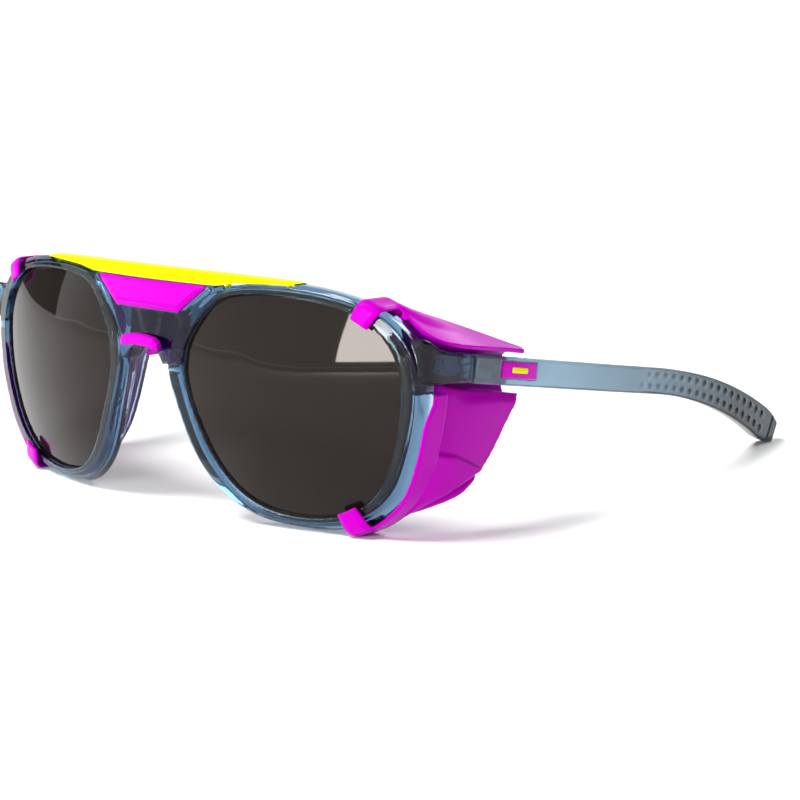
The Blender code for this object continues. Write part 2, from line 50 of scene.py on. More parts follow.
# The same surfaces as the CAD, in millimetres from the bridge ---------------------------
FRONT_Y = -79.87
WRAP_RADIUS = 170.3
FACE_RADIUS = 127.6
FACE_MID_Z = 28.0
FACE_TILT = math.tan(math.radians(1.36))
OPENING = [
    (40.0, 50.5, 2.6), (49.5, 49.3, 2.7), (56.5, 46.9, 3.2), (61.8, 42.6, 4.2),
    (64.7, 37.2, 4.8), (65.5, 31.0, 4.6), (64.9, 25.0, 4.3), (63.0, 17.8, 4.3),
    (59.3, 10.4, 4.1), (53.3, 5.6, 3.2), (46.0, 3.3, 2.4), (38.5, 2.9, 2.1),
    (31.0, 4.1, 2.6), (24.6, 7.5, 3.4), (19.3, 13.5, 4.2), (15.3, 21.0, 4.2),
    (12.7, 27.5, 4.2), (11.8, 33.0, 4.8), (12.9, 38.5, 4.4), (16.0, 43.6, 3.4),
    (20.5, 48.3, 2.8), (27.0, 50.2, 2.6), (33.0, 50.6, 2.5),
]
STEPS = 8
RIM_PROUD = 0.55
RIM_BACK = 4.2
GROOVE_DEPTH = 1.2
GROOVE_FRONT = 0.45
GROOVE_BACK = 2.85
LENS_FRONT = 0.75
LENS_THICKNESS = 1.8
LENS_INSERTED = 0.9
LENS_CROWN = 1.9
GAP = 0.3
BRIDGE_TOP_Z = 51.3
BAR_HALF_LENGTH = 40.4
INSERT_BOTTOM_Z = 45.1
INSERT_HALF_BOTTOM = 10.2
INSERT_HALF_TOP = 17.4
INSERT_DEPTH = 1.2
NOSE_WALL = [
    (4.4, 35.6, 7.0), (6.1, 33.4, 7.8), (7.7, 30.5, 8.2), (9.4, 26.0, 8.2),
    (10.9, 21.5, 7.6), (12.7, 16.5, 6.4), (14.8, 12.4, 4.6),
]
NOSE_PAD = [
    (8.2, 9.6, 35.3, 6.9, 8.9), (9.75, 11.1, 33.2, 4.7, 7.6), (11.25, 12.7, 30.5, 5.0, 8.0),
    (12.6, 14.0, 27.0, 7.0, 8.0), (13.95, 15.4, 23.0, 6.6, 7.6),
    (15.35, 16.8, 19.0, 5.6, 6.8), (16.6, 18.2, 15.8, 4.7, 6.0),
    (17.4, 19.0, 14.2, 4.7, 5.3),
]
PAD_LINK = (3.4, 9.4, 34.4, 35.6)
LIP_HALF = 6.2
LIP_LOW_Z = 37.1
LIP_HIGH_Z = 39.8
BACKING_HALF = 9.0
BACKING_LOW_Z = 36.2
BACKING_HIGH_Z = 45.0
HINGE_X = 66.0
HINGE_Y = 29.0
HINGE_Z = 36.0
TEMPLE_OUT_X = 71.0
TEMPLE_SLOPE = 0.166
TEMPLE_BEND_Y = 95.0
TEMPLE_BEND = 0.0027
TEMPLE_CURVE_Y = 60.0
TEMPLE_CURVE = 0.00122
TEMPLE_START_Y = 29.35
TEMPLE_HEIGHT = 6.25
TIP_HEIGHT = 8.1
SHIELD_AT_RIM = [(52.0, 1.3), (60.4, 5.0), (67.2, 16.2), (68.2, 31.4), (63.3, 32.4),
                 (62.9, 41.0), (60.1, 49.0), (61.2, 48.1), (62.2, 47.2)]
SHIELD_BEFORE_FOLD = [(57.6, 20.3, 3.6), (64.2, 20.4, 8.4), (67.8, 20.6, 17.8),
                      (68.5, 20.7, 32.6), (63.3, 20.2, 32.8), (63.1, 20.4, 40.4),
                      (62.2, 20.0, 47.3), (65.0, 18.9, 44.9), (67.6, 18.0, 42.6)]
SHIELD_AT_FOLD = [(63.2, 6.0), (66.6, 11.0), (68.6, 20.0), (68.6, 31.7), (63.3, 31.6),
                  (63.3, 39.5), (64.4, 45.4), (67.8, 43.0), (71.2, 40.6)]
SHIELD_MIDDLE = [(65.8, 29.9, 7.9), (67.7, 31.0, 13.8), (68.8, 33.0, 21.4),
                 (68.6, 35.5, 30.3), (63.3, 35.8, 30.1), (63.3, 36.0, 37.0),
                 (66.0, 36.0, 41.4), (68.6, 35.6, 40.2), (71.2, 35.2, 39.1)]
SHIELD_REAR = [(66.3, 33.4, 9.9), (67.8, 37.4, 15.2), (68.4, 42.0, 21.8),
               (68.3, 46.8, 28.3), (63.5, 47.0, 28.1), (63.5, 46.9, 35.9),
               (68.4, 46.4, 37.4), (69.8, 45.6, 37.4), (71.2, 44.8, 37.4)]
FLEX_Y = 25.0
SHIELD_THICKNESS = 1.0
SHEET_STEPS = 18            # grid lines between two points of a shield's tables
FAIRING_ROUNDS = 120        # passes that even out the flap between its rows
PANEL_STEP = [(0.0, 21.0), (18.3, 19.8), (22.0, 18.8), (26.0, 17.9), (35.2, 13.8),
              (42.0, 10.0)]
PANEL_STEP_HEIGHT = 0.7
SHELF_DROP = 0.45           # clears the temple when it folds
EDGE_GROOVE_DEPTH = 0.45
FLAP_GROOVE_DEPTH = 0.3
HOOKS = (("upper", 14, 19), ("lower", 70, 75))
HOOK_FRONT = -2.0
HOOK_SLIM = 0.35
HOOK_RADII = (0.5, 2.2, 0.8, 0.4, 0.2, 0.2, 0.4, 0.5)
SKIN_GAP = 0.35             # from the rim to the inside of a hook or the flange
SKIN_OUT = 1.1
FLANGE = slice(39, 72)
FLANGE_FRONT = -0.1
FLANGE_ROUNDING = 2.2
FLANGE_RADII = (0.2, 0.5, 0.7, 0.3, 0.2, 0.2)
SMOOTH_IN = 0.5             # the two shares of one round of smoothing
SMOOTH_OUT = -0.5194


# ---------------------------------------------------------------------------- helpers --
def metres(x, y, z, side=1):
    return Vector((side * x * MM, (y + FRONT_Y) * MM, z * MM))


def face_y(x, z):
    rise = z - FACE_MID_Z
    return x * x / (2 * WRAP_RADIUS) + rise * rise / (2 * FACE_RADIUS) - rise * FACE_TILT


def between(table, x):
    x = abs(x)
    for (x0, v0), (x1, v1) in zip(table, table[1:]):
        if x <= x1:
            return v0 + (v1 - v0) * (x - x0) / (x1 - x0)
    return table[-1][1]


def ease(low, high, x):
    t = min(1.0, max(0.0, (x - low) / (high - low)))
    return t * t * (3.0 - 2.0 * t)


def spread(half, count):
    return [half * (2 * i / (count - 1) - 1) for i in range(count)]


def catmull(points, closed, steps):
    count = len(points)
    spans = count if closed else count - 1
    result = []
    for span in range(spans):
        if closed:
            around = [points[(span + k) % count] for k in (-1, 0, 1, 2)]
        else:
            around = [points[min(max(span + k, 0), count - 1)] for k in (-1, 0, 1, 2)]
        for step in range(steps):
            t = step / steps
            weights = (
                -0.5 * t + t * t - 0.5 * t ** 3,
                1.0 - 2.5 * t * t + 1.5 * t ** 3,
                0.5 * t + 2.0 * t * t - 1.5 * t ** 3,
                -0.5 * t * t + 0.5 * t ** 3,
            )
            result.append(tuple(
                sum(w * p[axis] for w, p in zip(weights, around))
                for axis in range(len(points[0]))))
    if not closed:
        result.append(tuple(points[-1]))
    return result


def spline(points, closed, steps):
    """Cubic spline with even curvature through the points, by chord length."""
    p = np.array(points, float)
    if closed:
        p = np.vstack([p, p[:1]])
    h = np.linalg.norm(np.diff(p, axis=0), axis=1)
    count = len(h)
    size = count if closed else count + 1
    system = np.zeros((size, size))
    right = np.zeros((size, p.shape[1]))
    slopes = np.diff(p, axis=0) / h[:, None]
    if closed:
        for i in range(count):
            before = (i - 1) % count
            system[i, before] += h[before]
            system[i, i] += 2 * (h[before] + h[i])
            system[i, (i + 1) % count] += h[i]
            right[i] = 6 * (slopes[i] - slopes[before])
    else:
        system[0, 0] = system[-1, -1] = 1.0
        for i in range(1, count):
            system[i, i - 1] = h[i - 1]
            system[i, i] = 2 * (h[i - 1] + h[i])
            system[i, i + 1] = h[i]
            right[i] = 6 * (slopes[i] - slopes[i - 1])
    bend = np.linalg.solve(system, right)
    if closed:
        bend = np.vstack([bend, bend[:1]])
    rows = []
    for i in range(count):
        for step in range(steps):
            a = 1.0 - step / steps
            b = step / steps
            rows.append(a * p[i] + b * p[i + 1] + ((a ** 3 - a) * bend[i]
                        + (b ** 3 - b) * bend[i + 1]) * h[i] ** 2 / 6)
    if not closed:
        rows.append(p[-1])
    return [tuple(row) for row in rows]


def new_object(name, bm, smooth=40.0):
    bmesh.ops.recalc_face_normals(bm, faces=bm.faces)
    mesh = bpy.data.meshes.new(name)
    bm.to_mesh(mesh)
    bm.free()
    item = bpy.data.objects.new(name, mesh)
    bpy.context.scene.collection.objects.link(item)
    shade(item, smooth)
    return item


def shade(item, smooth):
    item.data.shade_smooth()
    if smooth < 180.0:
        item.data.set_sharp_from_angle(angle=math.radians(smooth))


def loft(name, rings, closed=True, smooth=40.0):
    """Skin rings of points; an open row of them gets two caps."""
    bm = bmesh.new()
    rows = [[bm.verts.new(point) for point in ring] for ring in rings]
    pairs = list(zip(rows, rows[1:]))
    if closed:
        pairs.append((rows[-1], rows[0]))
    else:
        bm.faces.new(rows[0])
        bm.faces.new(list(reversed(rows[-1])))
    for row, following in pairs:
        for i in range(len(row)):
            j = (i + 1) % len(row)
            bm.faces.new((row[j], row[i], following[i], following[j]))
    return new_object(name, bm, smooth)


def add_sheet(bm, grids):
    """Faces of two grids of vertices, and the wall around the edge between them."""
    for grid in grids:
        for low, high in zip(grid, grid[1:]):
            for i in range(len(low) - 1):
                bm.faces.new((low[i], low[i + 1], high[i + 1], high[i]))
    borders = [grid[0] + [row[-1] for row in grid[1:]] + grid[-1][-2::-1]
               + [row[0] for row in grid[-2:0:-1]] for grid in grids]
    for i in range(len(borders[0])):
        j = (i + 1) % len(borders[0])
        bm.faces.new((borders[0][i], borders[0][j], borders[1][j], borders[1][i]))


def applied(item):
    """Replace the mesh by what its modifiers make of it."""
    graph = bpy.context.evaluated_depsgraph_get()
    mesh = bpy.data.meshes.new_from_object(item.evaluated_get(graph))
    item.modifiers.clear()
    old = item.data
    item.data = mesh
    bpy.data.meshes.remove(old)
    mesh.name = item.name
    return item


def merged(name, items):
    """One object that holds the closed shells of several."""
    bm = bmesh.new()
    for item in items:
        bm.from_mesh(item.data)
        bpy.data.objects.remove(item)
    mesh = bpy.data.meshes.new(name)
    bm.to_mesh(mesh)
    bm.free()
    result = bpy.data.objects.new(name, mesh)
    bpy.context.scene.collection.objects.link(result)
    return result


def moulded(item, voxel, rounds):
    """Fuse overlapping shells into one skin and soften its edges like a moulding."""
    remesh = item.modifiers.new("fuse", "REMESH")
    remesh.mode = "VOXEL"
    remesh.voxel_size = voxel * MM
    applied(item)
    soften(item, rounds)
    shade(item, 180.0)
    return item


def soften(item, rounds):
    """Taubin smoothing, which rounds edges without shrinking the piece."""
    mesh = item.data
    count = len(mesh.vertices)
    co = np.empty(count * 3)
    mesh.vertices.foreach_get("co", co)
    co = co.reshape(-1, 3)
    edges = np.empty(len(mesh.edges) * 2, int)
    mesh.edges.foreach_get("vertices", edges)
    a, b = edges.reshape(-1, 2).T
    degree = np.bincount(a, minlength=count) + np.bincount(b, minlength=count)
    for _ in range(rounds):
        for factor in (SMOOTH_IN, SMOOTH_OUT):
            total = np.zeros_like(co)
            for axis in range(3):
                total[:, axis] = (np.bincount(a, co[b, axis], count)
                                  + np.bincount(b, co[a, axis], count))
            co += factor * (total / degree[:, None] - co)
    mesh.vertices.foreach_set("co", co.ravel())
    mesh.update()


def cut(item, *tools):
    for tool in tools:
        modifier = item.modifiers.new("cut", "BOOLEAN")
        modifier.operation = "DIFFERENCE"
        modifier.solver = "MANIFOLD"
        modifier.object = tool
    applied(item)
    for tool in tools:
        bpy.data.objects.remove(tool)
    return item


def rounded_box(name, low, high, radius, segments=3, side=1, slope=0.0):
    middle = [(a + b) / 2 for a, b in zip(low, high)]
    bm = bmesh.new()
    bmesh.ops.create_cube(bm, size=1.0)
    bmesh.ops.scale(bm, vec=[b - a for a, b in zip(low, high)], verts=bm.verts)
    bmesh.ops.bevel(bm, geom=bm.edges[:], offset=radius, segments=segments, profile=0.5,
                    affect="EDGES")
    turn = Matrix.Rotation(-math.atan(slope), 4, "X")
    bmesh.ops.transform(bm, matrix=turn, verts=bm.verts)
    for vert in bm.verts:
        vert.co = metres(*(vert.co + Vector(middle)), side)
    return new_object(name, bm)


def rounded(corners, radii, segments=5):
    """Closed outline with every corner replaced by an arc."""
    outline = []
    count = len(corners)
    for i, radius in enumerate(radii):
        corner = Vector(corners[i])
        before = Vector(corners[i - 1]) - corner
        after = Vector(corners[(i + 1) % count]) - corner
        half = before.angle(after) / 2
        reach = min(radius / math.tan(half), 0.49 * before.length, 0.49 * after.length)
        start = corner + before.normalized() * reach
        end = corner + after.normalized() * reach
        for step in range(segments + 1):
            t = step / segments
            outline.append(tuple((1 - t) ** 2 * start + 2 * t * (1 - t) * corner
                                 + t * t * end))
    return outline


def pipe(name, x, y, low_z, high_z, radius, side=1, segments=32):
    rings = []
    for z in (low_z, high_z):
        rings.append([metres(x + radius * math.cos(2 * math.pi * i / segments),
                             y + radius * math.sin(2 * math.pi * i / segments), z, side)
                      for i in range(segments)])
    return loft(name, rings, closed=False)


# -------------------------------------------------------------------------- materials --
def detailed(name, colour, roughness, spread_of_roughness=0.06, tone=0.06, bump=0.05,
             grain=900.0, fade=None, **sockets):
    """Principled plastic or metal with fine variation of tone, gloss and surface.

    A fade of (start, end, share) darkens the colour to that share between two y.
    """
    result = bpy.data.materials.new(name)
    result.use_nodes = True
    nodes, links = result.node_tree.nodes, result.node_tree.links
    shader = nodes["Principled BSDF"]
    for socket, value in sockets.items():
        shader.inputs[socket.replace("_", " ")].default_value = value
    place = nodes.new("ShaderNodeTexCoord")
    broad = nodes.new("ShaderNodeTexNoise")
    broad.inputs["Scale"].default_value = grain * 0.12
    broad.inputs["Detail"].default_value = 4.0
    fine = nodes.new("ShaderNodeTexNoise")
    fine.inputs["Scale"].default_value = grain
    fine.inputs["Detail"].default_value = 3.0
    for texture in (broad, fine):
        links.new(place.outputs["Object"], texture.inputs["Vector"])
    ramp = nodes.new("ShaderNodeValToRGB")
    ramp.color_ramp.elements[0].position = 0.3
    ramp.color_ramp.elements[1].position = 0.7
    ramp.color_ramp.elements[0].color = (*(c * (1.0 - tone) for c in colour), 1.0)
    ramp.color_ramp.elements[1].color = (*(min(1.0, c * (1.0 + tone)) for c in colour), 1.0)
    links.new(broad.outputs["Fac"], ramp.inputs["Fac"])
    tone_output = ramp.outputs["Color"]
    if fade:
        axes = nodes.new("ShaderNodeSeparateXYZ")
        links.new(place.outputs["Object"], axes.inputs["Vector"])
        along = nodes.new("ShaderNodeMapRange")
        along.inputs["From Min"].default_value = (fade[0] + FRONT_Y) * MM
        along.inputs["From Max"].default_value = (fade[1] + FRONT_Y) * MM
        along.inputs["To Min"].default_value = 1.0
        along.inputs["To Max"].default_value = fade[2]
        links.new(axes.outputs["Y"], along.inputs["Value"])
        darker = nodes.new("ShaderNodeVectorMath")
        darker.operation = "SCALE"
        links.new(tone_output, darker.inputs[0])
        links.new(along.outputs["Result"], darker.inputs["Scale"])
        tone_output = darker.outputs["Vector"]
    links.new(tone_output, shader.inputs["Base Color"])
    gloss = nodes.new("ShaderNodeMapRange")
    gloss.inputs["From Min"].default_value = 0.3
    gloss.inputs["From Max"].default_value = 0.7
    gloss.inputs["To Min"].default_value = max(0.0, roughness - spread_of_roughness)
    gloss.inputs["To Max"].default_value = roughness + spread_of_roughness
    links.new(broad.outputs["Fac"], gloss.inputs["Value"])
    links.new(gloss.outputs["Result"], shader.inputs["Roughness"])
    relief = nodes.new("ShaderNodeBump")
    relief.inputs["Strength"].default_value = bump
    relief.inputs["Distance"].default_value = 0.00005
    links.new(fine.outputs["Fac"], relief.inputs["Height"])
    links.new(relief.outputs["Normal"], shader.inputs["Normal"])
    return result


SMOKE = detailed("smoke_blue_plastic", (0.9, 0.95, 0.97), 0.03, 0.015, 0.03, 0.02,
                 Transmission_Weight=1.0, IOR=1.2, Coat_Weight=0.35, Coat_IOR=1.5,
                 Coat_Roughness=0.02)
TEMPLE_SMOKE = detailed("smoke_blue_temple", (0.66, 0.77, 0.84), 0.2, 0.04, 0.04, 0.04,
                        fade=(48.0, 138.0, 0.1), Transmission_Weight=0.85, IOR=1.2,
                        Coat_Weight=0.15, Coat_Roughness=0.12)
PINK = detailed("pink_soft_plastic", (0.47, 0.0, 0.44), 0.3, 0.02, 0.01, 0.02, 1600.0,
                IOR=1.22, Specular_Tint=(1.0, 0.1, 1.0, 1.0))
# Painted shade: a dark plum colour, in place of the saddle's pink, for the backing faces that
# lie in shade behind the bridge.
PAINTED_SHADE = detailed("backing_painted_shade", (0.04, 0.012, 0.2), 0.4, 0.02, 0.01, 0.02, IOR=1.1)
PINK_HARD = detailed("pink_hard_plastic", (0.62, 0.0, 0.5), 0.25, 0.02, 0.01, 0.02,
                     IOR=1.3, Specular_Tint=(1.0, 0.1, 1.0, 1.0))
YELLOW = detailed("yellow_plastic", (0.9, 0.9, 0.0), 0.34, 0.05, 0.02, 0.06, IOR=1.12)
STEEL = detailed("hinge_steel", (0.66, 0.69, 0.74), 0.28, 0.1, 0.08, 0.25,
                 Metallic=1.0)
LENS = detailed("dark_mirror_lens", (0.007, 0.0045, 0.0035), 0.035, 0.01, 0.1, 0.0,
                IOR=1.35, Specular_Tint=(1.0, 0.9, 0.85, 1.0))


def tinted_inside(look, colour, density):
    """Colour that deepens with the thickness of plastic the light passes through."""
    nodes = look.node_tree.nodes
    tint = nodes.new("ShaderNodeVolumeAbsorption")
    tint.inputs["Color"].default_value = (*colour, 1.0)
    tint.inputs["Density"].default_value = density
    look.node_tree.links.new(tint.outputs["Volume"],
                             nodes["Material Output"].inputs["Volume"])


tinted_inside(SMOKE, (0.3, 0.5, 0.64), 700.0)
tinted_inside(TEMPLE_SMOKE, (0.3, 0.5, 0.62), 330.0)


def dress(item, look, body, replaced):
    """Give a piece its look and its body, and hide the CAD node that it stands for."""
    item.data.materials.clear()
    item.data.materials.append(look)
    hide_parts(replaced)
    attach(item, body)
    return item


# ------------------------------------------------------------------------- the front --
def rim_stations():
    outline = spline(OPENING, True, STEPS)
    result = []
    for i, (x, z, width) in enumerate(outline):
        before, after = outline[i - 1], outline[(i + 1) % len(outline)]
        along = Vector((after[0] - before[0], after[1] - before[1])).normalized()
        result.append((Vector((x, z)), Vector((-along.y, along.x)), width))
    return result


STATIONS = rim_stations()


def rim_point(station, out, back, side):
    edge, outward, _ = station
    flat = edge + outward * out
    z = max(flat.y, 0.0)
    return metres(flat.x, face_y(flat.x, flat.y) + back, z, side)


def rim_heel(station):
    _, outward, width = station
    return width + 1.35 * max(0.0, -outward.y) ** 3 - 0.6 * abs(outward.x)


def rim(name, side):
    rings = []
    for station in STATIONS:
        width, heel = station[2], rim_heel(station)
        rings.append([rim_point(station, out, back, side) for out, back in (
            (0.0, -RIM_PROUD), (width - 0.9, -RIM_PROUD), (width, 0.35), (heel, 3.5),
            (heel - 0.4, RIM_BACK), (0.35, RIM_BACK), (0.0, RIM_BACK - 0.35),
            (0.0, GROOVE_BACK), (GROOVE_DEPTH, GROOVE_BACK),
            (GROOVE_DEPTH, GROOVE_FRONT), (0.0, GROOVE_FRONT))])
    return loft(name, rings)


def band(name, xs, low_z, high_z, front, back):
    rings = []
    for x in xs:
        low, high = low_z(x), high_z(x)
        rings.append([metres(x, face_y(x, z) + depth, z) for z, depth in (
            (low, front), (high, front), (high, back), (low, back))])
    return loft(name, rings, closed=False)


def arch_z(x):
    return 38.6 - 0.15 * x * x


def bridge_low_z(x):
    inside_rims = [(6.0, arch_z(6.0)), (8.0, 34.0), (10.0, 35.8), (12.0, 40.0),
                   (14.0, 43.4), (16.0, 46.0), (18.0, 48.6), (19.0, 49.9)]
    return arch_z(x) if abs(x) <= 6.0 else between(inside_rims, x)


def insert_low_z(x):
    return between([(0.0, INSERT_BOTTOM_Z), (INSERT_HALF_BOTTOM, INSERT_BOTTOM_Z),
                    (INSERT_HALF_TOP, BRIDGE_TOP_Z - 0.5)], x)


def bar_low_z(x):
    return between([(0.0, 51.6), (17.4, 51.6), (20.0, 51.6), (26.0, 52.45),
                    (33.0, 52.75), (41.0, 52.95)], x)


def bar_high_z(x):
    return between([(0.0, 54.35), (10.0, 54.3), (25.0, 54.1), (33.0, 53.85),
                    (41.0, 53.55)], x)


BAR_PEGS = [(22.1, 50.9), (37.7, 52.0)]
PEG_BACK = 1.8


def pegs(prefix, radius, extra):
    made = []
    for x, low in BAR_PEGS:
        for side in (1, -1):
            y = face_y(x, low) + PEG_BACK
            made.append(pipe(f"{prefix}_{len(made)}", x, y, low - extra,
                             bar_low_z(x) + 0.6, radius, side, 20))
    return made


def nose_rows():
    return spline(NOSE_WALL, False, 6)


def nose_wall(name, side):
    rings = []
    for x, z, back in nose_rows():
        y = face_y(x, z)
        rings.append([metres(x + dx, y + dy, z, side) for dx, dy in (
            (0.25, 1.0), (2.4, 1.0), (3.2, back), (1.1, back))])
    return loft(name, rings, closed=False)


def end_piece(name, side):
    stations = [(13.7, 67.1, 70.2, 35.4, 43.9), (15.4, 67.0, 71.0, 34.4, 43.3),
                (17.2, 66.8, 71.2, 34.1, 42.0), (18.4, 64.6, 71.2, 33.9, 41.3),
                (22.0, 64.2, 71.1, 33.7, 40.3), (28.7, 64.2, 71.0, 33.0, 39.0)]
    corner = 0.5
    rings = []
    for y, inner, outer, low, high in stations:
        rings.append([metres(x, y, z, side) for x, z in (
            (inner, low), (outer - corner, low), (outer, low + corner),
            (outer, high - corner), (outer - corner, high), (inner, high))])
    return loft(name, rings, closed=False)


def hinge_slot(name, start_y, end_y, side):
    z = HINGE_Z - TEMPLE_SLOPE * ((start_y + end_y) / 2 - HINGE_Y)
    return rounded_box(name, (HINGE_X - 5.0, start_y, z - 2.6),
                       (HINGE_X + 0.75, end_y, z + 2.6), 0.15, 2, side, TEMPLE_SLOPE)


def front():
    shells = []
    for side, hand in SIDES:
        shells += [rim(f"rim_{hand}", side), nose_wall(f"wall_{hand}", side),
                   end_piece(f"end_{hand}", side)]
    shells.append(band("plate", spread(19.0, 77), bridge_low_z,
                       lambda x: BRIDGE_TOP_Z, -0.45, 4.0))
    body = moulded(merged("front_moulding", shells), 0.27, 4)
    tools = [
        band("bar_seat", spread(BAR_HALF_LENGTH + 0.12, 81),
             lambda x: bar_low_z(x) - GAP, lambda x: 60.0, -3.0, 8.0),
        band("insert_pocket", spread(INSERT_HALF_TOP + GAP, 57),
             lambda x: insert_low_z(x) - GAP, lambda x: 56.0, -3.0, INSERT_DEPTH + GAP)]
    tools += pegs("peg_hole", 0.9, 0.25)
    for side, hand in SIDES:
        tools += [hinge_slot(f"slot_{hand}", 20.0, 30.5, side),
                  pipe(f"room_{hand}", HINGE_X, HINGE_Y, 30.0, 42.0, 1.7, side)]
    cut(body, *tools)
    shade(body, 40.0)
    return dress(body, SMOKE, "front", "front_frame")


def lens(side, hand):
    middle = sum((s[0] for s in STATIONS), Vector((0.0, 0.0))) / len(STATIONS)
    ring_count = 26
    bm = bmesh.new()
    skins = []
    for back in (LENS_FRONT, LENS_FRONT + LENS_THICKNESS):
        rings = []
        for ring in range(ring_count):
            share = 1.0 - ring / ring_count
            row = []
            for edge, outward, _ in STATIONS:
                flat = middle + (edge + outward * LENS_INSERTED - middle) * share
                y = face_y(flat.x, flat.y) + back - LENS_CROWN * (1.0 - share * share)
                row.append(bm.verts.new(metres(flat.x, y, flat.y, side)))
            rings.append(row)
        pole = bm.verts.new(metres(middle.x, face_y(middle.x, middle.y) + back
                                   - LENS_CROWN, middle.y, side))
        for row, inner in zip(rings, rings[1:]):
            for i in range(len(row)):
                j = (i + 1) % len(row)
                bm.faces.new((row[i], row[j], inner[j], inner[i]))
        for i in range(len(rings[-1])):
            bm.faces.new((rings[-1][i], rings[-1][(i + 1) % len(rings[-1])], pole))
        skins.append(rings[0])
    for i in range(len(skins[0])):
        j = (i + 1) % len(skins[0])
        bm.faces.new((skins[0][i], skins[0][j], skins[1][j], skins[1][i]))
    item = new_object(f"mirror_lens_{hand}", bm, 50.0)
    return dress(item, LENS, "front", f"lens_{hand}")


def brow_bar():
    """Bar with rounded long edges and ends that thin out."""
    rings = []
    for x in spread(BAR_HALF_LENGTH, 97):
        low, high = bar_low_z(x), bar_high_z(x)
        end = ease(BAR_HALF_LENGTH - 1.2, BAR_HALF_LENGTH, abs(x))
        high -= 0.3 * end
        r = 0.35
        ring = []
        for corner_z, corner_y, start in ((high - r, -0.35 + r, 90), (high - r, 3.4 - r, 0),
                                          (low + r, 3.4 - r, -90), (low + r, -0.35 + r, -180)):
            for step in range(4):
                angle = math.radians(start + 90 - 30 * step)
                z = corner_z + r * math.sin(angle)
                y = corner_y + r * math.cos(angle)
                ring.append(metres(x, face_y(x, z) + y, z))
        rings.append(ring)
    bar = loft("brow_bar_moulding", rings, closed=False, smooth=50.0)
    bar = merged("brow_bar_moulding", [bar] + pegs("peg", 0.6, 0.0))
    shade(bar, 50.0)
    return dress(bar, YELLOW, "front", "brow_bar")


def bridge_insert():
    """Insert with a raised line inside its lower edges and soft corners."""
    across, up = 120, 44
    bm = bmesh.new()
    skins = []
    for layer in (0, 1):
        grid = []
        for j in range(up + 1):
            row = []
            for i in range(across + 1):
                u = 2 * i / across - 1
                v = j / up
                z = INSERT_BOTTOM_Z + (BRIDGE_TOP_Z - INSERT_BOTTOM_Z) * v
                half = INSERT_HALF_BOTTOM + (INSERT_HALF_TOP - INSERT_HALF_BOTTOM) * (
                    min(1.0, v / 0.92))
                x = u * half
                line = min((half - abs(x)) * 0.65, z - INSERT_BOTTOM_Z)
                inside = min(line, BRIDGE_TOP_Z - z)
                if layer:
                    depth = INSERT_DEPTH
                else:
                    ridge = math.exp(-((line - 1.15) / 0.22) ** 2) * ease(
                        0.2, 1.2, BRIDGE_TOP_Z - z)
                    sink = 0.18 * ease(1.1, 1.5, line)
                    depth = -0.8 + 0.4 * (1.0 - ease(0.0, 0.55, inside)) \
                        - 0.28 * ridge + sink
                row.append(bm.verts.new(metres(x, face_y(x, z) + depth, z)))
            grid.append(row)
        skins.append(grid)
    add_sheet(bm, skins)
    item = new_object("bridge_insert_moulding", bm, 50.0)
    return dress(item, PINK, "front", "bridge_insert")


def nose_saddle():
    """Web under the arch with the lip ahead of it, the backing plate and the two pads."""
    rings = []
    for x in spread(5.2, 53):
        web_top = arch_z(x) - GAP
        y = face_y(x, 38.0)
        front = y + between([(0.0, -1.6), (1.3, -1.6), (2.0, 4.6), (5.2, 4.6)], x)
        rings.append([metres(x, point_y, z) for point_y, z in (
            (front, web_top - 1.0), (front, web_top), (y + 9.6, web_top),
            (y + 9.6, web_top - 1.0))])
    shells = [loft("web", rings, closed=False)]
    rings = []
    for x in spread(LIP_HALF, 49):
        low, high = LIP_LOW_Z - 0.02 * x * x, LIP_HIGH_Z - 0.025 * x * x
        end = ease(LIP_HALF - 1.3, LIP_HALF, abs(x))
        middle, half = (low + high) / 2 - 0.25 * end, (high - low) / 2 * (1.0 - 0.35 * end)
        ring = []
        for corner_y, corner_z, start in ((-1.35, half - 0.6, 0), (-2.2, half - 0.6, 90),
                                          (-2.2, 0.6 - half, 180), (-1.35, 0.6 - half, 270)):
            for step in range(5):
                angle = math.radians(start + 22.5 * step)
                y = corner_y + 0.5 * math.cos(angle) + 0.35 * end * (corner_y < -2.0)
                z = middle + corner_z + 0.55 * math.sin(angle)
                ring.append(metres(x, face_y(x, z) + y, z))
        rings.append(ring)
    shells.append(loft("lip", rings, closed=False))
    shells.append(band("backing", spread(BACKING_HALF, 37), lambda x: BACKING_LOW_Z,
                       lambda x: BACKING_HIGH_Z, 4.55, 5.9))
    for side, hand in SIDES:
        rings = []
        for beside, outer, z, start, end in spline(NOSE_PAD, False, 6):
            y = face_y(beside, z)
            rings.append([metres(x, y + dy, z, side) for x, dy in (
                (beside, start), (outer, start), (outer, end), (beside, end))])
        shells.append(loft(f"pad_{hand}", rings, closed=False))
        near_x, far_x, low, high = PAD_LINK
        y = face_y(6.0, 35.0)
        shells.append(rounded_box(f"link_{hand}", (near_x, y + 7.85, low),
                                  (far_x, y + 8.9, high), 0.2, 2, side))
    item = moulded(merged("nose_saddle_moulding", shells), 0.2, 6)
    dress(item, PINK, "front", "nose_saddle")
    # The backing's faces behind the bridge get the dark painted shade instead of pink.
    item.data.materials.append(PAINTED_SHADE)
    for face in item.data.polygons:
        middle = face.center / MM
        behind = middle.y - FRONT_Y - face_y(middle.x, middle.z)
        if behind > 4.2 and middle.z > BACKING_LOW_Z and behind < 6.2:
            face.material_index = 1
    return item


# ----------------------------------------------------------------------- the temples --
def temple_mid_z(y):
    bend = max(0.0, y - TEMPLE_BEND_Y)
    return 35.9 - TEMPLE_SLOPE * (y - TEMPLE_START_Y) - TEMPLE_BEND * bend * bend


def temple_out_x(y):
    curve = max(0.0, y - TEMPLE_CURVE_Y)
    return TEMPLE_OUT_X - TEMPLE_CURVE * curve * curve


def temple_thickness(y):
    return between([(0.0, 5.2), (40.0, 5.2), (62.0, 3.5), (110.0, 3.3), (150.0, 3.9),
                    (170.0, 3.9)], y)


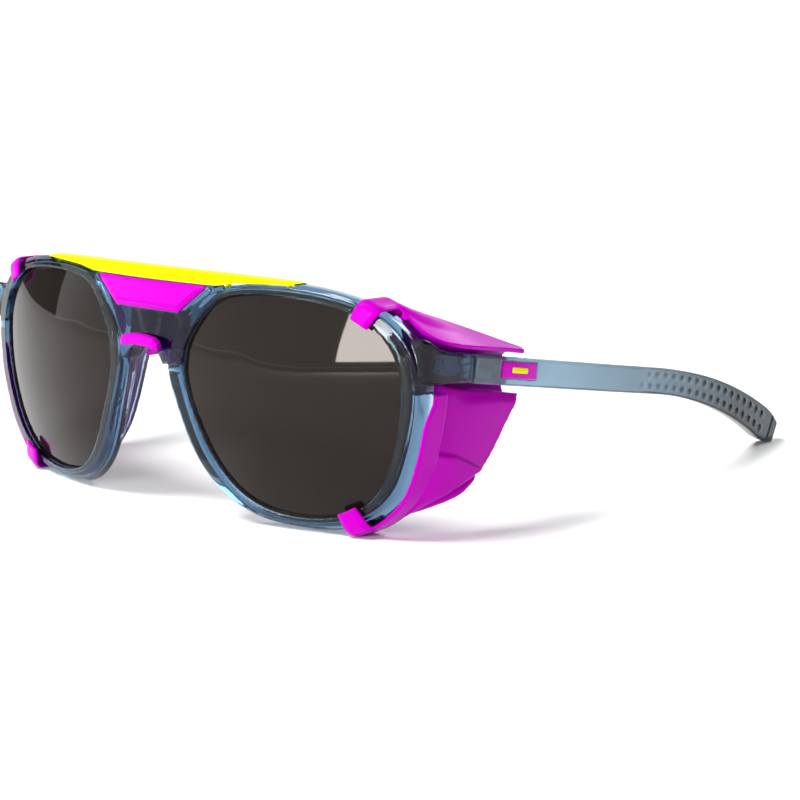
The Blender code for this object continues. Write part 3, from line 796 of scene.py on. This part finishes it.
def temple_height(y):
    swell = min(1.0, max(0.0, (y - 105.0) / 50.0))
    return TEMPLE_HEIGHT + (TIP_HEIGHT - TEMPLE_HEIGHT) * swell


BUMP_START = 89.0
BUMP_END = 157.0
BUMP_PITCH = 3.75
BUMP_HEIGHT = 0.42


def bump_depth(y, u, half):
    """Height of the two staggered rows of tear-shaped bumps at y and height u."""
    best = 0.0
    for row, centre in ((0, -0.34), (1, 0.34)):
        first = BUMP_START + (0.5 * BUMP_PITCH + 1.0 if row else 0.0)
        index = round((y - first) / BUMP_PITCH)
        if index < 0 or first + index * BUMP_PITCH > BUMP_END - 1.5:
            continue
        size = 1.0 if index else 0.8
        dy = y - (first + index * BUMP_PITCH)
        du = u - centre * 2 * half * 0.62
        length = 1.75 if dy > 0 else 1.15
        radius = math.hypot(dy / (length * size), du / (0.95 * size * half / 3.2))
        best = max(best, BUMP_HEIGHT * size * (1.0 - ease(0.15, 1.0, radius)))
    return best


def temple_ring(y, side):
    slope = TEMPLE_SLOPE + 2 * TEMPLE_BEND * max(0.0, y - TEMPLE_BEND_Y)
    across = Vector((0.0, slope, 1.0)).normalized()
    ahead = Vector((0.0, 1.0, -slope)).normalized()
    end = max(0.0, y - 153.0) / 7.4
    half = temple_height(y) / 2 * math.sqrt(max(0.0, 1.0 - 0.45 * end * end))
    out = temple_out_x(y)
    thick = temple_thickness(y) * (1.0 - 0.3 * ease(0.6, 1.0, end))
    inner = temple_out_x(y) - thick - 0.15 * (temple_thickness(y) - thick)
    middle = Vector((0.0, y, temple_mid_z(y))) + ahead * (0.8 * end * end)
    corner = 0.75
    section = []
    for k in range(5):
        angle = math.radians(-90 + 22.5 * k)
        section.append((out - corner + corner * math.cos(angle),
                        -half + corner + corner * math.sin(angle)))
    face = 26
    for k in range(1, face):
        u = (-half + corner) + (2 * half - 2 * corner) * k / face
        section.append((out, u))
    for k in range(5):
        angle = math.radians(22.5 * k)
        section.append((out - corner + corner * math.cos(angle),
                        half - corner + corner * math.sin(angle)))
    r = 0.5
    for k in range(4):
        angle = math.radians(90 + 30 * k)
        section.append((inner + r + r * math.cos(angle), half - 0.3 - r + r * math.sin(angle)))
    for k in range(4):
        angle = math.radians(180 + 30 * k)
        section.append((inner + r + r * math.cos(angle), -half + 0.3 + r + r * math.sin(angle)))
    ring = []
    for x, u in section:
        if y > BUMP_START - 2.0 and x > out - 0.2 and y < BUMP_END + 1:
            x += bump_depth(y, u, half) - 0.3 * ease(BUMP_START - 2, BUMP_START + 6, y)
        point = middle + across * u
        ring.append(metres(x, point.y, max(point.z, 0.0), side))
    return ring


def temple(side, hand):
    stops = list(np.arange(TEMPLE_START_Y, 85.0, 1.2)) + list(np.arange(85.4, 156.0, 0.33))
    stops += list(np.linspace(156.2, 160.4, 14))
    item = loft(f"temple_moulding_{hand}", [temple_ring(y, side) for y in stops], closed=False)
    z = temple_mid_z(43.7)
    cut(item, hinge_slot(f"slot_{hand}", 27.5, 39.3, side),
        pipe(f"room_{hand}", HINGE_X, HINGE_Y, 30.0, 42.0, 1.7, side),
        rounded_box(f"seat_{hand}", (70.1, 37.5, z - 1.75), (73.0, 49.9, z + 2.45), 0.8, 4,
                    side, TEMPLE_SLOPE))
    shade(item, 38.0)
    return dress(item, TEMPLE_SMOKE, f"temple_{hand}", f"temple_{hand}")


def badge(side, hand):
    z = temple_mid_z(43.7)
    plate = rounded_box(f"badge_{hand}", (70.35, 37.85, z - 1.45), (71.1, 49.55, z + 2.15), 0.3,
                        4, side, TEMPLE_SLOPE)
    dress(plate, PINK_HARD, f"temple_{hand}", f"badge_plate_{hand}")
    inlay = rounded_box(f"badge_bar_{hand}", (70.9, 41.2, z - 0.25), (71.35, 46.2, z + 0.95),
                        0.2, 3, side, TEMPLE_SLOPE)
    dress(inlay, YELLOW, f"temple_{hand}", f"badge_inlay_{hand}")


# ----------------------------------------------------------------------- the shields --
def shield_rows():
    rim_row = [(x, face_y(x, z) + RIM_BACK + 0.5, z) for x, z in SHIELD_AT_RIM]
    fold = [(x, FLEX_Y, z) for x, z in SHIELD_AT_FOLD]
    rows = [rim_row, SHIELD_BEFORE_FOLD, fold, SHIELD_MIDDLE, SHIELD_REAR]
    along = [catmull(row, False, SHEET_STEPS) for row in rows]
    return list(zip(*(catmull(column, False, SHEET_STEPS) for column in zip(*along))))


def shield_relief(u, y, z):
    """How far the outer skin stands out, and how far the whole sheet sinks inwards.

    u counts the outline's points.
    """
    if u < 2.6:
        below = ease(0.0, 0.9, between(PANEL_STEP, y) - z)
        stepped = below * ease(0.62, 0.72, u) * ease(17.6, 18.6, y)
        flange = 1.0 - ease(0.3, 0.38, u)
        groove = ease(0.36, 0.42, u) * (1.0 - ease(0.5, 0.56, u))
        return 0.05 * flange - EDGE_GROOVE_DEPTH * groove, -PANEL_STEP_HEIGHT * stepped
    if u < 4.0:
        shelf = ease(2.6, 2.9, u) * (1.0 - ease(3.6, 4.0, u))
        return 0.0, SHELF_DROP * shelf * ease(24.0, 30.0, y)
    if u > 6.0:
        edge = math.exp(-((u - 6.4) / 0.1) ** 2)
        middle = ease(19.0, 22.0, y) * (1.0 - ease(41.0, 44.0, y))
        return -FLAP_GROOVE_DEPTH * edge * middle, 0.0
    return 0.0, 0.0


def shield_sheet(side, hand):
    """The curved sheet of a shield, its panel, shelf, wall and flap in one."""
    points = np.array(shield_rows())
    across = np.arange(points.shape[1]) / SHEET_STEPS
    fair = np.array([ease(5.4, 6.4, u) for u in across])[None, :, None]
    for _ in range(FAIRING_ROUNDS):
        middle = 0.25 * points[:-2] + 0.5 * points[1:-1] + 0.25 * points[2:]
        points[1:-1] += fair * (middle - points[1:-1])
    du = np.gradient(points, axis=1)
    dv = np.gradient(points, axis=0)
    normal = np.cross(du, dv)
    normal /= np.maximum(np.linalg.norm(normal, axis=2), 1e-9)[..., None]
    count_v, count_u = points.shape[:2]
    bm = bmesh.new()
    skins = []
    for inner in (False, True):
        grid = []
        for j in range(count_v):
            row = []
            for i in range(count_u):
                _, y, z = points[j, i]
                detail, height = shield_relief(i / SHEET_STEPS, y, z)
                height += SHIELD_THICKNESS if inner else -detail
                place = points[j, i] + normal[j, i] * height
                row.append(bm.verts.new(metres(*place, side)))
            grid.append(row)
        skins.append(grid)
    add_sheet(bm, skins)
    return new_object(f"sheet_{hand}", bm)


def rim_skin_width(station):
    return max(station[2], rim_heel(station))


def hook(name, first, last, side):
    """Hook around the rim from one station to another, slimmer at both ends."""
    rings = []
    for index in range(first, last + 1):
        station = STATIONS[index]
        width = rim_skin_width(station)
        slim = HOOK_SLIM if index in (first, last) else 0.0
        front = HOOK_FRONT + slim
        outline = ((-0.6, front), (width + SKIN_OUT + 0.1 - slim, front),
                   (width + SKIN_OUT - slim, 6.2), (width - 2.6, 6.2),
                   (width - 2.6, 4.55), (width + SKIN_GAP, 4.55),
                   (width + SKIN_GAP, -0.9), (-0.6, -0.9))
        rings.append([rim_point(station, out, back, side)
                      for out, back in rounded(outline, HOOK_RADII)])
    return loft(name, rings, closed=False)


def flange(name, side):
    """Edge of the shield that wraps the rim's outer side, rounded off at its top."""
    rings = []
    for index, station in enumerate(STATIONS[FLANGE]):
        width = rim_skin_width(station)
        front = FLANGE_FRONT + FLANGE_ROUNDING * (1.0 - ease(0.0, 8.0, index))
        outline = ((width + SKIN_GAP, front), (width + SKIN_OUT, front),
                   (width + SKIN_OUT, 5.8), (width - 2.0, 5.8), (width - 2.0, 4.6),
                   (width + SKIN_GAP, 4.6))
        rings.append([rim_point(station, out, back, side)
                      for out, back in rounded(outline, FLANGE_RADII)])
    return loft(name, rings, closed=False)


def shield(side, hand):
    shells = [shield_sheet(side, hand)]
    for name, first, last in HOOKS:
        shells.append(hook(f"{name}_hook_{hand}", first, last, side))
    shells.append(flange(f"flange_{hand}", side))
    item = moulded(merged(f"side_shield_{hand}", shells), 0.21, 13)
    item.data.materials.append(PINK)
    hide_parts(f"shield_clip_{hand}", f"shield_panel_{hand}")
    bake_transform(item)
    return item


# ------------------------------------------------------------------------- the studio --
def look_at(item, target):
    away = item.location - Vector(target)
    item.rotation_euler = away.to_track_quat("Z", "Y").to_euler()


def softbox(name, location, target, width, height, power):
    data = bpy.data.lights.new(name, "AREA")
    data.shape = "RECTANGLE"
    data.size = width
    data.size_y = height
    data.energy = power
    lamp = bpy.data.objects.new(name, data)
    bpy.context.scene.collection.objects.link(lamp)
    lamp.location = location
    look_at(lamp, target)


def around(azimuth, elevation, distance):
    """Point seen from the glasses: azimuth from -Y towards +X, both in degrees."""
    a, e = math.radians(azimuth), math.radians(elevation)
    return Vector((math.sin(a) * math.cos(e), -math.cos(a) * math.cos(e),
                   math.sin(e))) * distance


FLOOR_HALF = 150.0          # metres, so that its far edge is beyond the picture


def studio():
    bm = bmesh.new()
    bmesh.ops.create_grid(bm, x_segments=8, y_segments=8, size=FLOOR_HALF)
    floor = new_object("floor", bm)
    floor.data.materials.append(detailed("white_floor", (0.95, 0.95, 0.95), 0.5, 0.02, 0.01,
                                         0.0, 60.0, Specular_IOR_Level=0.0))
    world = bpy.data.worlds.new("studio")
    bpy.context.scene.world = world
    world.use_nodes = True
    background = world.node_tree.nodes["Background"]
    background.inputs["Color"].default_value = (1.0, 1.0, 1.0, 1.0)
    background.inputs["Strength"].default_value = 0.16
    sun_data = bpy.data.lights.new("overhead", "SUN")
    sun_data.energy = 3.35
    sun_data.angle = math.radians(26.0)
    sun = bpy.data.objects.new("overhead", sun_data)
    bpy.context.scene.collection.objects.link(sun)
    sun.location = around(-30.0, 60.0, 1.0)
    look_at(sun, (0.0, 0.0, 0.0))
    near_lens = Vector((0.057, -0.07, 0.04))
    middle = (0.0, -0.03, 0.03)
    softbox("front_wall", around(-30.0, 0.0, 6.0) + Vector((0.0, 0.0, 1.0)),
            (0.0, 0.0, 1.0), 11.0, 4.0, 150.0)
    softbox("back_wall", around(-137.0, 20.0, 1.3), middle, 2.4, 0.6, 3.5)
    softbox("back_high", around(-179.0, 43.0, 1.3), middle, 0.6, 0.5, 8.0)
    softbox("key", near_lens + around(3.5, 10.5, 1.1), near_lens, 0.33, 0.34, 8.6)
    bpy.context.scene.view_settings.view_transform = "Standard"


def camera():
    data = bpy.data.cameras.new("camera")
    data.lens = 103.24
    data.sensor_width = 36.0
    data.clip_start = 0.01
    item = bpy.data.objects.new("camera", data)
    bpy.context.scene.collection.objects.link(item)
    item.location = (0.38037, -0.40946, 0.11389)
    back = around(42.68, 10.12, 1.0)
    item.rotation_euler = back.to_track_quat("Z", "Y").to_euler()
    bpy.context.scene.camera = item


front()
brow_bar()
bridge_insert()
nose_saddle()
for SIDE, HAND in SIDES:
    lens(SIDE, HAND)
    temple(SIDE, HAND)
    badge(SIDE, HAND)
    shield(SIDE, HAND)
    for NODE in (f"hinge_leaf_front_{HAND}", f"hinge_leaf_temple_{HAND}",
                 f"hinge_screw_{HAND}"):
        NODES[NODE].data.materials.clear()
        NODES[NODE].data.materials.append(STEEL)
studio()
camera()
